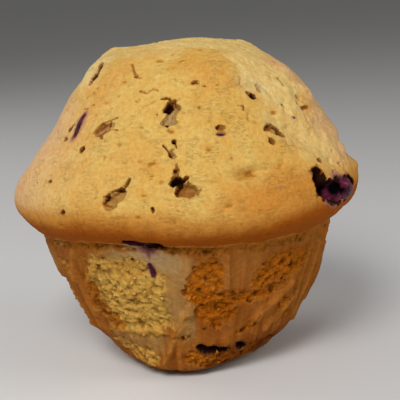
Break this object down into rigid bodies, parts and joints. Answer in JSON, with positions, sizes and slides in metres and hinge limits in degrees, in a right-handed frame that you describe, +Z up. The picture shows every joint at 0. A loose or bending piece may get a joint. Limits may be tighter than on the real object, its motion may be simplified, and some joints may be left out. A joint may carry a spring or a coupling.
{
  "type": "blueberry muffin",
  "caption": "Baked muffin out of its case: a tapered cup with a wide domed cap over it, small hollows in the crust and berries showing.",
  "frame": {"origin": "middle of the flat foot, where the muffin rests", "axes": "+Z up through the crown; -Y towards the side whose rim has the open berry hole at its right; +X to the right of that side"},
  "size_m": [0.0852, 0.0852, 0.0784],
  "materials": {
    "baked_crumb": "golden baked crust above, torn yellow crumb and smooth tan skin on the cup",
    "berry_skin": "cooked berry, dark purple and moist"
  },
  "bodies": {
    "root": {"muffin_body": "baked_crumb", "berry_rim": "berry_skin", "berry_lip": "berry_skin", "berry_crown": "berry_skin"}
  },
  "joints": []
}
